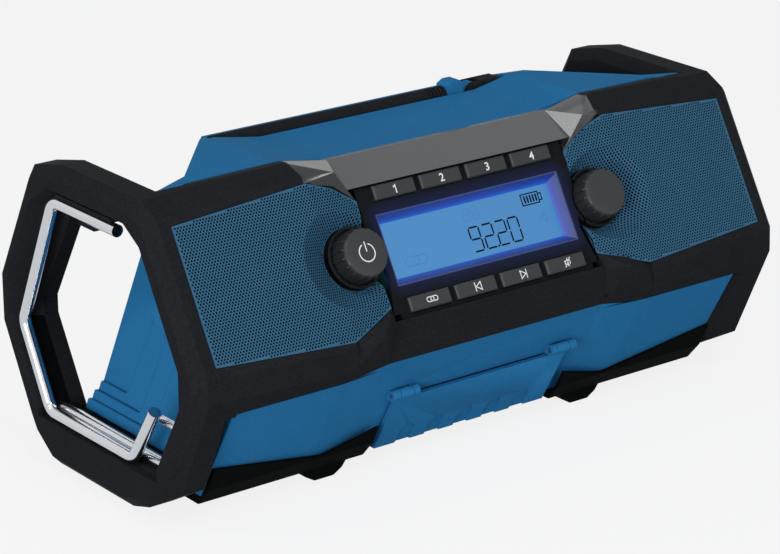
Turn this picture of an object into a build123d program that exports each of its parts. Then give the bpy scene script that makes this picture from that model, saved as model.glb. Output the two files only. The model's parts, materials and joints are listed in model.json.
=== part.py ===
from build123d import *
import math
import os

# Jobsite radio: a six-sided tube of a housing with an open steel-hook end frame at each end.
# Millimetres. X runs along the length, -Y is the front, +Z is up. The feet stand on Z = 0.

# ---- driving sizes -------------------------------------------------------------------------
overall_length = 350.0
frame_depth = 23.0            # end frame, along the length
frame_bevel = 5.5             # outer rim of an end frame
front_tilt = 30.0             # the control face leans back by this much
front_centre_y = -66.15       # middle of the control face
front_centre_z = 115.05
front_half_height = 37.35     # control face, along its slope
top_height = 153.3
rear_depth = 85.3
bottom_height = 2.0           # underside of the end frames
wall = 3.0                    # housing wall

crown_tilt = 0.8              # the housing's top falls to the rear by this much
crown_rise = 0.1              # reach of that top above the frames' top
recess_drop = 3.5             # step under the bezel, below the frames' top
housing_bottom = 12.0
rear_upper_reach = 117.0      # housing faces, measured along their own normals
rear_reach = 81.5
rear_lower_reach = 38.5
front_lower_reach = 37.4
parting_y = 17.0              # front and rear shells meet here
waist_half = 65.0             # half length of the pinched middle
waist_rise = 26.4             # length of the slope out of it
waist_drop = 4.0
lower_waist_drop = 2.6

bezel_wall = 3.0
bezel_top_back = -27.5
bezel_lip_z = 60.5
seam_inset = 18.0             # joint of bezel and end frame, from the end of the radio
rail_inner_x = 89.6           # end of the four rails, where their clamps begin
clamp_step = 2.8              # clamps lie this far below the rails
opening_half_height = 32.9
grille_margin = 11.6          # outer edge of a grille from the end of the radio
grille_inner_x = 62.0
grille_face = 0.2
grille_thickness = 1.4
ledge_width = 3.0
ledge_thickness = 3.0
dish_radius = 24.5            # rim of the dish round each knob
dish_offset = 5.5             # of that rim, away from the panel
dish_depth = 8.0

knob_x = 72.0
knob_radius = 12.5
knob_length = 15.0
knob_face = 5.9
shaft_radius = 3.0
shaft_clearance = 0.05
knob_travel = 0.8

panel_face = -4.0
panel_thickness = 3.0
lcd_half_width = 50.5
lcd_top = 12.8
lcd_bottom = -13.9
lcd_face = -9.6
lcd_border = 4.0

button_pitch = 27.3
button_width = 24.1
button_height = 7.4
button_face = -1.6
button_length = 8.0
button_travel = 0.8
button_gap = 0.25
board_face = -12.6
board_thickness = 1.6
upper_row_v = 26.6
lower_row_v = -27.5

antenna_y = 27.9
antenna_z = 147.8
antenna_radius = 4.6
antenna_tip_x = -90.0
antenna_hinge_x = 66.0
antenna_end_x = 84.0

hook_radius = 3.0
hook_clearance = 0.05
hook_inset = 4.0              # hook's axis behind the outer face of the frame
hook_z = 27.5                 # axis of its bottom run, on which it turns
keeper_inset = 10.3
keeper_rise = 0.6
keeper_front, keeper_back = -52.0, 50.0
stop_inset = 10.1
stop_z = 50.0
stop_radius = 2.2
stop_front, stop_back = -66.0, -41.5

speaker_inset = 32.0          # speaker's axis from the end frame
speaker_radius = 30.5
baffle_face = -10.7           # front of the housing's baffle wall, behind the bezel

door_half = 52.0
door_hinge_y = -67.6
door_hinge_z = 42.5
door_thickness = 2.6
door_back_y = -38.0
knuckle_radius = 2.6
hinge_pin_radius = 1.25
hinge_clearance = 0.05

foot_inset = 73.0             # toe from the end frame
foot_toe = 11.0
foot_root = 33.0

half_length = overall_length / 2
frame_inner_x = half_length - frame_depth
grille_outer_x = half_length - grille_margin
speaker_x = frame_inner_x - speaker_inset
foot_x = frame_inner_x - foot_inset
hook_x = -(half_length - hook_inset)
keeper_x = -(half_length - keeper_inset)
keeper_z = hook_z + keeper_rise
stop_x = -(half_length - stop_inset)
seam_x = half_length - seam_inset
crown_angle = 90 - crown_tilt
housing_top = top_height + crown_rise
recess_z = top_height - recess_drop
cos_tilt = math.cos(math.radians(front_tilt))
sin_tilt = math.sin(math.radians(front_tilt))
front_centre_reach = -front_centre_y * cos_tilt + front_centre_z * sin_tilt
front_plane = Plane(origin=(0, front_centre_y, front_centre_z), x_dir=(1, 0, 0),
                    z_dir=(0, -cos_tilt, sin_tilt))
centring = Location((0, 2.0, 0))  # puts the middle of the radio's box on the origin


def front_point(v, n):
    """Y and Z of a point on the control face, v up its slope and n out of it."""
    return (front_centre_y + v * sin_tilt - n * cos_tilt, front_centre_z + v * cos_tilt + n * sin_tilt)


def face_crossing(angle_a, reach_a, angle_b, reach_b):
    """Where two faces meet, each given by the angle of its normal in the YZ plane and its reach."""
    ca, sa = math.cos(math.radians(angle_a)), math.sin(math.radians(angle_a))
    cb, sb = math.cos(math.radians(angle_b)), math.sin(math.radians(angle_b))
    det = ca * sb - sa * cb
    return ((reach_a * sb - reach_b * sa) / det, (ca * reach_b - cb * reach_a) / det)


# edge of each grille on the control face: (distance from the middle, height up the slope)
grille_edge = [(grille_outer_x, opening_half_height), (88.9, 38.1), (75.0, 33.8), (grille_inner_x, 25.2),
               (grille_inner_x, -27.0), (74.8, -32.5), (88.9, -38.2), (grille_outer_x, -opening_half_height)]

os.makedirs("parts", exist_ok=True)
written = []


def write(name, part):
    part = part.moved(centring)
    part.label = name
    export_step(part, f"parts/{name}.step")
    written.append(name)


# ---- rails and clamps of the front bezel ---------------------------------------------------------
brow = front_point(front_half_height, 0)
chin = front_point(-front_half_height, 0)
knee = (-85.3, 71.0)
bezel_depth = -10.7           # underside of the bezel, behind the control face
lower_step_reach = front_lower_reach - 2.4
step_under_reach = lower_step_reach + 0.3
under_top = recess_z + 0.3
above = 180.0                 # clear of everything
under_points = [(80, above), (bezel_top_back, above), (bezel_top_back, under_top), face_crossing(90, under_top, 150, front_centre_reach + bezel_depth),
                face_crossing(210, step_under_reach, 150, front_centre_reach + bezel_depth),
                (-(step_under_reach + bezel_lip_z * sin_tilt) / cos_tilt, bezel_lip_z + 0.1),
                (-140, bezel_lip_z + 0.1), (-140, -50), (80, -50)]
with BuildPart() as under_bezel:
    with BuildSketch(Plane.YZ.offset(-half_length)):
        with BuildLine():
            Polyline(*under_points, close=True)
        make_face()
    extrude(amount=overall_length)

# sections of the upper and the lower rail, at the seam and at the clamp
upper_rail = ([front_point(30, 0), brow, (-36.0, top_height), (-30.5, top_height), (bezel_top_back, 152.7),
               (bezel_top_back, 148.0), front_point(30, -12)],
              [front_point(30, 0), front_point(41.4, 0), (-34.1, 154.7), (-28.8, 154.25), (bezel_top_back, 153.6),
               (bezel_top_back, 148.0), front_point(30, -12)])
lower_rail = ([front_point(-30, 0), chin, knee, (-81.0, 61.8), (-76.0, 60.8), front_point(-30, -12)],
              [front_point(-30, 0), front_point(-41.7, 1.0), (-87.1, 69.25), (-83.5, 63.8), (-76.0, 60.8),
               front_point(-30, -12)])
# corners of the clamps: (distance from the middle, height up the face, height out of it);
# the faces fan out from the ridge, which stands proud of the control face
upper_ridge = (74.6, 39.35, 3.9)
upper_rim = [(90.3, 41.3, -clamp_step), (90.6, 50.3, -7.9), (90.6, 52.55, -12.7), (65.6, 47.9, -11.6),
             (62.5, 25.2, -4.0), (75.0, 33.7, 0.3), (90.3, 38.1, 0.6 - clamp_step)]
lower_ridge = (74.5, -38.2, 4.67)
lower_rim = [(90.3, -41.7, 1.0 - clamp_step), (90.6, -50.1, -4.8), (90.6, -53.1, -10.65), (64.8, -50.1, -14.4),
             (63.2, -35.2, -2.3), (62.5, -27.0, -3.2), (74.6, -32.4, 1.0), (90.3, -38.2, 0.8 - clamp_step)]
clamp_depth = -20.0


def flat_sided(faces):
    """Solid closed by flat faces, each a list of points."""
    return Solid(Shell([Face(Wire.make_polygon(face, close=True)) for face in faces]))


def clamp(ridge, rim):
    """Faceted clamp: a fan of faces about its ridge, with walls straight in behind its rim."""
    apex = front_plane.from_local_coords(ridge)
    top = [front_plane.from_local_coords(corner) for corner in rim]
    base = [front_plane.from_local_coords((x, v, clamp_depth)) for x, v, _ in rim]
    around = list(zip(range(len(rim)), list(range(1, len(rim))) + [0]))
    fan = [[top[i], top[j], apex] for i, j in around]
    walls = [[top[i], base[i], base[j], top[j]] for i, j in around]
    return flat_sided(fan + walls + [base])


def rail(section_pair, sign):
    with BuildPart() as bar:
        for x, section in zip((seam_x, rail_inner_x), section_pair):
            with BuildSketch(Plane.YZ.offset(sign * x)):
                with BuildLine():
                    Polyline(*section, close=True)
                make_face()
        loft(ruled=True)
        add(under_bezel.part, mode=Mode.SUBTRACT)
    return bar.part


rails = {sign: (rail(upper_rail, sign), rail(lower_rail, sign)) for sign in (-1, 1)}
clamps = [clamp(upper_ridge, upper_rim), clamp(lower_ridge, lower_rim)]

# ---- end frames ------------------------------------------------------------------------------
frame_outline = [chin, brow, (-36.0, top_height), (30.0, top_height), (54.5, 147.5), (rear_depth, 89.5),
                 (rear_depth, 63.5), (62.5, 21.0), (57.5, 13.0), (42.0, bottom_height),
                 (-21.5, bottom_height), (-35.2, 6.0), (-62.6, 21.2), knee]
sill = 25.0
sill_front, sill_back = -47.0, 51.0
mouth_outer = [(-41.5, 134.0), (-29.0, 141.8), (36.0, 141.8), (52.0, 131.0), (75.9, 88.0), (75.9, 68.0),
               (sill_back, sill), (sill_front, sill), (-70.0, 66.0), (-70.0, 83.5)]
mouth_inner = [(-39.0, 131.0), (-29.0, 136.5), (31.0, 136.5), (39.0, 126.0), (68.0, 76.0), (68.0, 67.0),
               (44.5, sill), (sill_front, sill), (-70.0, 66.0), (-70.0, 83.5)]
funnel_depth = 15.0
grip_depth = 7.4
rail_back = -30.5             # rear border of the rails at the frames



# in front the rims of the frames stay sharp on their inner side, where the rails join them
front_zone = Box(500, 100, 120, align=(Align.CENTER, Align.MAX, Align.MIN)).translate((0, rail_back, bezel_lip_z))

for side, sign in (("left", -1), ("right", 1)):
    with BuildPart() as end_frame:
        with BuildSketch(Plane.YZ.offset(sign * frame_inner_x)):
            with BuildLine():
                Polyline(*frame_outline, close=True)
            make_face()
        extrude(amount=sign * frame_depth)
        outer_face = end_frame.faces().sort_by(Axis.X)[-1 if sign > 0 else 0]
        chamfer(outer_face.edges(), length=frame_bevel)
        front_part = end_frame.part & front_zone
        inner_face = end_frame.faces().sort_by(Axis.X)[0 if sign > 0 else -1]
        chamfer(inner_face.edges(), length=frame_bevel)
        add(front_part)
        with BuildSketch(Plane.YZ.offset(sign * frame_inner_x)):
            with BuildLine():
                Polyline(*mouth_inner, close=True)
            make_face()
        extrude(amount=sign * frame_depth, mode=Mode.SUBTRACT)
        with BuildSketch(Plane.YZ.offset(sign * overall_length / 2)):
            with BuildLine():
                Polyline(*mouth_outer, close=True)
            make_face()
        with BuildSketch(Plane.YZ.offset(sign * (overall_length / 2 - funnel_depth))):
            with BuildLine():
                Polyline(*mouth_inner, close=True)
            make_face()
        loft(ruled=True, mode=Mode.SUBTRACT)
        # the bezel's rails are let into the frame
        for bar in rails[sign]:
            add(bar, mode=Mode.SUBTRACT)
        # pocket for the grille's end, with the ledge that it lies on
        with BuildSketch(front_plane.offset(grille_face - grille_thickness)):
            with BuildLine():
                Polyline(*[(sign * x, v) for x, v in grille_edge], close=True)
            make_face()
        extrude(amount=10, mode=Mode.SUBTRACT)
        if sign < 0:
            # groove in the sill, in which the hook's bottom run turns, open to the outside for its legs
            groove = hook_radius + hook_clearance
            with BuildSketch(Plane.XZ.offset(3 - sill_front)):
                with Locations((hook_x, hook_z)):
                    Circle(groove)
                    Rectangle(2 * hook_inset, 2 * groove, align=(Align.MAX, Align.CENTER))
            extrude(amount=-(sill_back - sill_front + 4), mode=Mode.SUBTRACT)
            # seats of the keeper bar and of the stop pin
            with BuildSketch(Plane.XZ.offset(-keeper_back)):
                with Locations((keeper_x, keeper_z)):
                    Circle(hook_radius)
            extrude(amount=keeper_back - keeper_front, mode=Mode.SUBTRACT)
            with BuildSketch(Plane.XZ.offset(-stop_back)):
                with Locations((stop_x, stop_z)):
                    Circle(stop_radius)
            extrude(amount=stop_back - stop_front, mode=Mode.SUBTRACT)
    write(f"{side}_end_frame", end_frame.part)

    with BuildPart() as grip_insert:
        with BuildSketch(Plane.YZ.offset(sign * (overall_length / 2 - funnel_depth))):
            with BuildLine():
                Polyline((75.9, 68.0), (68.0, 67.0), (44.5, sill), (51.0, sill), close=True)
            make_face()
        extrude(amount=sign * grip_depth)
        if sign < 0:
            with BuildSketch(Plane.XZ.offset(-keeper_back)):
                with Locations((keeper_x, keeper_z)):
                    Circle(hook_radius)
            extrude(amount=keeper_back - keeper_front, mode=Mode.SUBTRACT)
    grip = grip_insert.part - end_frame.part
    write(f"{side}_grip_insert", grip)


# ---- housing shells --------------------------------------------------------------------------
end_cut_x = frame_inner_x + 8.0  # where the slanted end cut would reach the end frame's plane
end_cut_reach = 35.6
slope_reach = housing_top + 0.5  # slope behind the top
# sunken middle of the bezel, above and below the panel, each a run of points on its face
upper_band = [front_point(30.8, -1.2), (-32.15, 150.8), (bezel_top_back, 149.9)]
lower_band = [front_point(-33.4, -2.0), (-78.75, 64.4)]
band_half = waist_half + 2.0


def housing_block(inset):
    """The housing as a solid, drawn in by inset on every face."""
    lower_step = lower_step_reach - inset
    front_reach = front_centre_reach + bezel_depth - 0.3 - inset
    points = [
        face_crossing(90, recess_z - inset, 150, front_reach),
        (bezel_top_back + 0.2, recess_z - inset),
        (bezel_top_back + 0.2, 153.8 - inset),
        face_crossing(crown_angle, housing_top - inset, 75, slope_reach - inset),
        face_crossing(75, slope_reach - inset, 30, rear_upper_reach - inset),
        face_crossing(30, rear_upper_reach - inset, 0, rear_reach - inset),
        face_crossing(0, rear_reach - inset, -30, rear_lower_reach - inset),
        face_crossing(-30, rear_lower_reach - inset, -90, -housing_bottom - inset),
        face_crossing(-90, -housing_bottom - inset, 210, front_lower_reach - inset),
        (-(front_lower_reach - inset + bezel_lip_z * sin_tilt) / cos_tilt, bezel_lip_z),
        (-(lower_step + bezel_lip_z * sin_tilt) / cos_tilt, bezel_lip_z),
        face_crossing(210, lower_step, 150, front_reach),
    ]
    if inset:
        points = [points[0]] + points[3:9] + points[11:]
    half = frame_inner_x - 0.3 - inset
    with BuildPart() as block:
        with BuildSketch(Plane.YZ.offset(-half)):
            with BuildLine():
                Polyline(*points, close=True)
            make_face()
        extrude(amount=2 * half)
        # pinched middle, on top and on the lower front
        crown = Plane(origin=(0, 0, 0), x_dir=(1, 0, 0),
                      z_dir=(0, -math.cos(math.radians(crown_tilt)), math.sin(math.radians(crown_tilt))))
        lower_front = Plane(origin=(0, 0, 0), x_dir=(1, 0, 0), z_dir=(0, -sin_tilt, cos_tilt))
        for plane, low, rise, drop in ((crown, housing_top - inset, 1, waist_drop),
                                       (lower_front, inset - front_lower_reach, -1, lower_waist_drop)):
            with BuildSketch(plane):
                with BuildLine():
                    Polyline((-waist_half - waist_rise, low), (-waist_half, low - rise * drop),
                             (waist_half, low - rise * drop), (waist_half + waist_rise, low),
                             (waist_half + waist_rise, low + rise * 10),
                             (-waist_half - waist_rise, low + rise * 10), close=True)
                make_face()
            extrude(amount=400, both=True, mode=Mode.SUBTRACT)
        # room for the bezel's sunken middle
        drop = bezel_wall + 0.3 + inset * 1.03
        (front_y, front_z), (turn_y, turn_z), (back_y, back_z) = upper_band
        steep = (turn_z - front_z) / (turn_y - front_y)
        low_slope = (lower_band[1][0] - lower_band[0][0]) / (lower_band[1][1] - lower_band[0][1])
        with BuildSketch(Plane.YZ.offset(-band_half - 0.3 - inset)):
            with BuildLine():
                Polyline((front_y - 30, front_z - drop - 30 * steep), (turn_y, turn_z - drop),
                         (back_y + 0.2, back_z - drop), (back_y + 0.2, above), (-120, above), close=True)
            make_face()
            with BuildLine():
                Polyline((lower_band[1][0] + drop, lower_band[1][1] - 0.3 - inset),
                         (lower_band[1][0] + drop + 25 * low_slope, lower_band[1][1] + 25),
                         (-120, lower_band[1][1] + 25), (-120, lower_band[1][1] - 0.3 - inset), close=True)
            make_face()
        extrude(amount=2 * (band_half + 0.3 + inset), mode=Mode.SUBTRACT)
        for sign in (-1, 1):
            cut_plane = Plane(
                origin=(sign * (end_cut_x + end_cut_reach - inset * math.sqrt(2)), 0, 0),
                x_dir=(0, -sin_tilt, cos_tilt), z_dir=(sign, cos_tilt, sin_tilt))
            with BuildSketch(cut_plane):
                Rectangle(600, 600)
            extrude(amount=200, mode=Mode.SUBTRACT)
    return block.part



outer_block = housing_block(0)
inner_block = housing_block(wall)
bay_half = 43.0
bay_angle = 40.0              # the battery slides in along this slope
bay_centre = (-51.1, 25.45)
bay_height = 38.0
bay_plane = Plane(origin=(0, *bay_centre), x_dir=(1, 0, 0),
                  z_dir=(0, math.cos(math.radians(bay_angle)), math.sin(math.radians(bay_angle))))
groove_radius = antenna_radius + 1.6

with BuildPart() as housing:
    add(outer_block)
    add(inner_block, mode=Mode.SUBTRACT)
    # groove for the folded antenna, with its own trough wall
    with BuildSketch(Plane.YZ.offset(-antenna_end_x - 8)):
        with Locations((antenna_y, antenna_z)):
            Circle(groove_radius + wall)
    extrude(amount=2 * antenna_end_x + 20)
    with BuildSketch(Plane.YZ.offset(-antenna_end_x - 8)):
        with Locations((antenna_y, antenna_z)):
            Circle(groove_radius)
        with Locations((antenna_y + 20, antenna_z + 6)):
            Rectangle(40, 12 + groove_radius)
    extrude(amount=2 * antenna_end_x + 12, mode=Mode.SUBTRACT)
    # mouth of the battery bay
    with BuildSketch(bay_plane.offset(-20)):
        Rectangle(2 * bay_half, bay_height)
    extrude(amount=45, mode=Mode.SUBTRACT)
    # pockets for the door's knuckles
    for start in (-52.0, 43.5):
        with BuildSketch(Plane.YZ.offset(start)):
            with Locations((door_hinge_y, door_hinge_z)):
                Circle(knuckle_radius + 0.5)
        extrude(amount=8.5, mode=Mode.SUBTRACT)
    # baffle: window for the panel and a hole for each speaker
    with BuildSketch(front_plane.offset(-40)):
        Rectangle(2 * 87.5, 66)
        with Locations((-speaker_x, 0), (speaker_x, 0)):
            Circle(speaker_radius - 3.5)
    extrude(amount=40, mode=Mode.SUBTRACT)
housing_shell = housing.part & outer_block

front_half_space = Box(500, 400, 400, align=(Align.CENTER, Align.MAX, Align.CENTER)).translate((0, parting_y, 80))
write("front_housing", housing_shell & front_half_space)
write("rear_housing", housing_shell - front_half_space)

# ---- front bezel -----------------------------------------------------------------------------
with BuildPart() as front_bezel:
    for sign in (-1, 1):
        for bar in rails[sign]:
            add(bar)
        for piece in clamps:
            add((piece if sign > 0 else piece.mirror(Plane.YZ)) - under_bezel.part)
    # the grilles and the panel show through
    with BuildSketch(front_plane.offset(-25)):
        for sign in (-1, 1):
            with BuildLine():
                Polyline(*[(sign * x, v) for x, v in grille_edge], close=True)
            make_face()
        Rectangle(2 * 58.0 + 8, 2 * 30.8)
        with Locations((0, -30)):
            Rectangle(2 * 58.0, 7)
    extrude(amount=50, mode=Mode.SUBTRACT)
    # sunken middle
    with BuildSketch(Plane.YZ.offset(-band_half)):
        with BuildLine():
            Polyline(*upper_band, *[(y, z - bezel_wall) for y, z in reversed(upper_band[1:])],
                     front_point(30.8, -1.2 - 1.4 * bezel_wall), close=True)
        make_face()
        with BuildLine():
            Polyline(*lower_band, (lower_band[1][0] + bezel_wall, lower_band[1][1]),
                     front_point(-33.4, -2.0 - 1.2 * bezel_wall), close=True)
        make_face()
    extrude(amount=2 * band_half)
    # ledge that the grilles lie on; it also ties the upper and lower rails together
    for sign in (-1, 1):
        with BuildSketch(front_plane.offset(grille_face - grille_thickness - ledge_thickness)):
            with BuildLine():
                Polyline(*[(sign * x, v) for x, v in grille_edge], close=True)
            make_face()
            Rectangle(2 * frame_inner_x, 120, mode=Mode.INTERSECT)
            with Locations((sign * (frame_inner_x - ledge_width - 40), 0)):
                Rectangle(80, 2 * (opening_half_height - ledge_width) + 1, mode=Mode.SUBTRACT)
            with Locations((sign * 75, 0)):
                Rectangle(30, 100, mode=Mode.SUBTRACT)
        extrude(amount=ledge_thickness)
write("front_bezel", front_bezel.part)

# ---- control panel ---------------------------------------------------------------------------
panel_half = 61.6
well_radius = knob_radius + 2.2
well_floor = panel_face - 6.4
with BuildPart() as control_panel:
    with BuildSketch(front_plane.offset(panel_face - panel_thickness)):
        with BuildLine():
            Polyline((-panel_half, 30.6), (panel_half, 30.6), (panel_half, 12), (panel_half - 4, -12),
                     (panel_half, -30.4), (57.6, -30.4), (57.6, -33.2), (-57.6, -33.2), (-57.6, -30.4),
                     (-panel_half, -30.4),
                     (-panel_half + 4, -12), (-panel_half, 12), close=True)
        make_face()
    extrude(amount=panel_thickness)
    # knob wells: a floor, and a wall on the display's side
    with BuildSketch(front_plane.offset(panel_face - 10)):
        with Locations((-knob_x, 0), (knob_x, 0)):
            Circle(well_radius)
    extrude(amount=3.6)
    with BuildSketch(front_plane.offset(well_floor)):
        with Locations((-knob_x, 0), (knob_x, 0)):
            Circle(well_radius)
        Rectangle(2 * (panel_half - 0.2), 100, mode=Mode.INTERSECT)
    extrude(amount=panel_face - well_floor)
    with BuildSketch(front_plane.offset(well_floor)):
        with Locations((-knob_x, 0), (knob_x, 0)):
            Circle(well_radius - 1.3)
    extrude(amount=30, mode=Mode.SUBTRACT)
    lcd_height = lcd_top - lcd_bottom
    lcd_middle = (lcd_top + lcd_bottom) / 2
    with BuildSketch(front_plane.offset(panel_face - panel_thickness)):
        with Locations((0, lcd_middle)):
            Rectangle(2 * (lcd_half_width + lcd_border), lcd_height + 2 * lcd_border)
        with Locations(*[((i - 1.5) * button_pitch, v) for i in range(4) for v in (upper_row_v, lower_row_v)]):
            Rectangle(button_width + 2 * button_gap, button_height + 2 * button_gap)
    extrude(amount=panel_thickness, mode=Mode.SUBTRACT)
    with BuildSketch(front_plane.offset(panel_face - 12)):
        with Locations((-knob_x, 0), (knob_x, 0)):
            Circle(shaft_radius + shaft_clearance)
    extrude(amount=10, mode=Mode.SUBTRACT)
    # posts for the key board
    with BuildSketch(front_plane.offset(board_face)):
        with Locations((-50, 19.8), (50, 19.8), (-50, -20.9), (50, -20.9)):
            Circle(1.6)
    extrude(amount=panel_face - panel_thickness - board_face)
write("control_panel", control_panel.part)

# ---- grilles, speakers ---------------------------------------------------------------------------
grille_gap = 0.3
grille_folds = [((88.9, 38.1, grille_face), (88.0, 20.0, grille_face), (62.0, 25.2, -3.8)),
                ((88.9, -38.2, grille_face), (88.0, -20.0, grille_face), (62.0, -27.0, -3.0))]
for side, sign in (("left", -1), ("right", 1)):
    with BuildPart() as grille_block:
        with BuildSketch(front_plane.offset(-20)):
            with BuildLine():
                Polyline(*[(sign * x, v) for x, v in grille_edge], close=True)
            make_face()
            offset(amount=-grille_gap, kind=Kind.INTERSECTION)
        extrude(amount=20 + grille_face)
        # the corners beside the panel fold down, then a dish runs down to the knob's well
        for fold_start, fold_end, corner in grille_folds:
            points = [Vector(sign * x, v, n) for x, v, n in (fold_start, fold_end, corner)]
            normal = (points[1] - points[0]).cross(points[2] - points[0])
            if normal.Z < 0:
                normal = normal * -1
            fold_plane = Plane(origin=front_plane.from_local_coords(points[0]),
                               z_dir=front_plane.from_local_coords(normal) - front_plane.origin)
            with BuildSketch(fold_plane):
                Rectangle(300, 300)
            extrude(amount=30, mode=Mode.SUBTRACT)
        with BuildSketch(front_plane.offset(grille_face)):
            with Locations((sign * (knob_x + dish_offset), 0)):
                Circle(dish_radius)
        with BuildSketch(front_plane.offset(grille_face - dish_depth)):
            with Locations((sign * knob_x, 0)):
                Circle(well_radius + 0.2)
        loft(mode=Mode.SUBTRACT)
        with BuildSketch(front_plane.offset(-20)):
            with Locations((sign * knob_x, 0)):
                Circle(well_radius + 0.2)
        extrude(amount=20, mode=Mode.SUBTRACT)
        with BuildSketch(front_plane.offset(-20)):
            with Locations((sign * (grille_inner_x - 20), 0)):
                Rectangle(40.4, 100)
        extrude(amount=30, mode=Mode.SUBTRACT)
    with BuildPart() as grille:
        add(grille_block.part)
        add(grille_block.part.moved(Location(front_plane.z_dir * -grille_thickness)), mode=Mode.SUBTRACT)
    write(f"{side}_grille", grille.part)

    speaker_plane = Plane(origin=front_plane.from_local_coords((sign * speaker_x, 0, 0)), x_dir=(1, 0, 0),
                          z_dir=-front_plane.y_dir)
    speaker_axis = Axis(speaker_plane.origin, front_plane.z_dir)
    hole_radius = speaker_radius - 3.5
    with BuildPart() as basket:
        with BuildSketch(speaker_plane):
            with BuildLine():
                Polyline((speaker_radius, baffle_face), (speaker_radius, baffle_face + 2.5),
                         (hole_radius - 1.5, baffle_face + 2.5), (hole_radius - 1.5, baffle_face - 8),
                         (18.2, baffle_face - 22), (10, baffle_face - 22), (10, baffle_face - 24),
                         (19.2, baffle_face - 24), (hole_radius - 0.3, baffle_face - 8.6),
                         (hole_radius - 0.3, baffle_face), close=True)
            make_face()
        revolve(axis=speaker_axis)
    write(f"{side}_speaker_basket", basket.part)
    with BuildPart() as cone:
        with BuildSketch(speaker_plane):
            with BuildLine():
                Polyline((hole_radius - 1.6, baffle_face + 0.6), (21, baffle_face + 1.8), (19, baffle_face + 0.2),
                         (7, baffle_face - 9), (0, baffle_face - 6), (0, baffle_face - 7), (7, baffle_face - 10.4),
                         (19.6, baffle_face - 1.2), (hole_radius - 1.6, baffle_face - 0.6), close=True)
            make_face()
        revolve(axis=speaker_axis)
    write(f"{side}_speaker_cone", cone.part)
    with BuildPart() as magnet:
        with BuildSketch(front_plane.offset(baffle_face - 24)):
            with Locations((sign * speaker_x, 0)):
                Circle(19)
        extrude(amount=-10)
        with BuildSketch(front_plane.offset(baffle_face - 24)):
            with Locations((sign * speaker_x, 0)):
                Circle(7)
        extrude(amount=13.4)
    write(f"{side}_speaker_magnet", magnet.part)

# ---- display -----------------------------------------------------------------------------------
with BuildPart() as display_frame:
    with BuildSketch(front_plane.offset(lcd_face)):
        with Locations((0, lcd_middle)):
            Rectangle(2 * (lcd_half_width + lcd_border), lcd_height + 2 * lcd_border)
    extrude(amount=panel_face - lcd_face)
    with BuildSketch(front_plane.offset(lcd_face)):
        with Locations((0, lcd_middle)):
            Rectangle(2 * lcd_half_width, lcd_height)
    with BuildSketch(front_plane.offset(panel_face)):
        with Locations((0, lcd_middle)):
            Rectangle(2 * (lcd_half_width + lcd_border - 0.6), lcd_height + 2 * (lcd_border - 0.6))
    loft(mode=Mode.SUBTRACT)
write("display_frame", display_frame.part)
lcd_thickness = 2.4
with BuildPart() as lcd_panel:
    with BuildSketch(front_plane.offset(lcd_face - lcd_thickness)):
        with Locations((0, lcd_middle)):
            Rectangle(2 * (lcd_half_width + 2.5), lcd_height + 5)
    extrude(amount=lcd_thickness)
write("lcd_panel", lcd_panel.part)
with BuildPart() as key_board:
    with BuildSketch(front_plane.offset(board_face - board_thickness)):
        Rectangle(113, 63)
    extrude(amount=board_thickness)
    with BuildSketch(front_plane.offset(board_face)):
        with Locations((0, lcd_middle)):
            Rectangle(60, 8)
    extrude(amount=lcd_face - lcd_thickness - board_face)
write("key_board", key_board.part)

# ---- keys: each slides on its own dome switch ------------------------------------------------------
key_names = [("preset_1", 0, upper_row_v), ("preset_2", 1, upper_row_v), ("preset_3", 2, upper_row_v),
             ("preset_4", 3, upper_row_v), ("pairing", 0, lower_row_v), ("previous", 1, lower_row_v),
             ("next", 2, lower_row_v), ("mute", 3, lower_row_v)]
key_back = button_face - button_length
with BuildPart() as dome_switches:
    with BuildSketch(front_plane.offset(board_face)):
        with Locations(*[((column - 1.5) * button_pitch, v) for _, column, v in key_names]):
            Rectangle(6, 5)
    extrude(amount=key_back - button_travel - 0.2 - board_face)
write("dome_switches", dome_switches.part)
for name, column, v in key_names:
    with BuildPart() as key:
        with BuildSketch(front_plane.offset(key_back)):
            with Locations(((column - 1.5) * button_pitch, v)):
                Rectangle(button_width, button_height)
        extrude(amount=button_length)
        chamfer(key.faces().sort_by(Axis(front_plane.origin, front_plane.z_dir))[-1].edges(), length=0.8)
    write(f"{name}_key", key.part)

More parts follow.
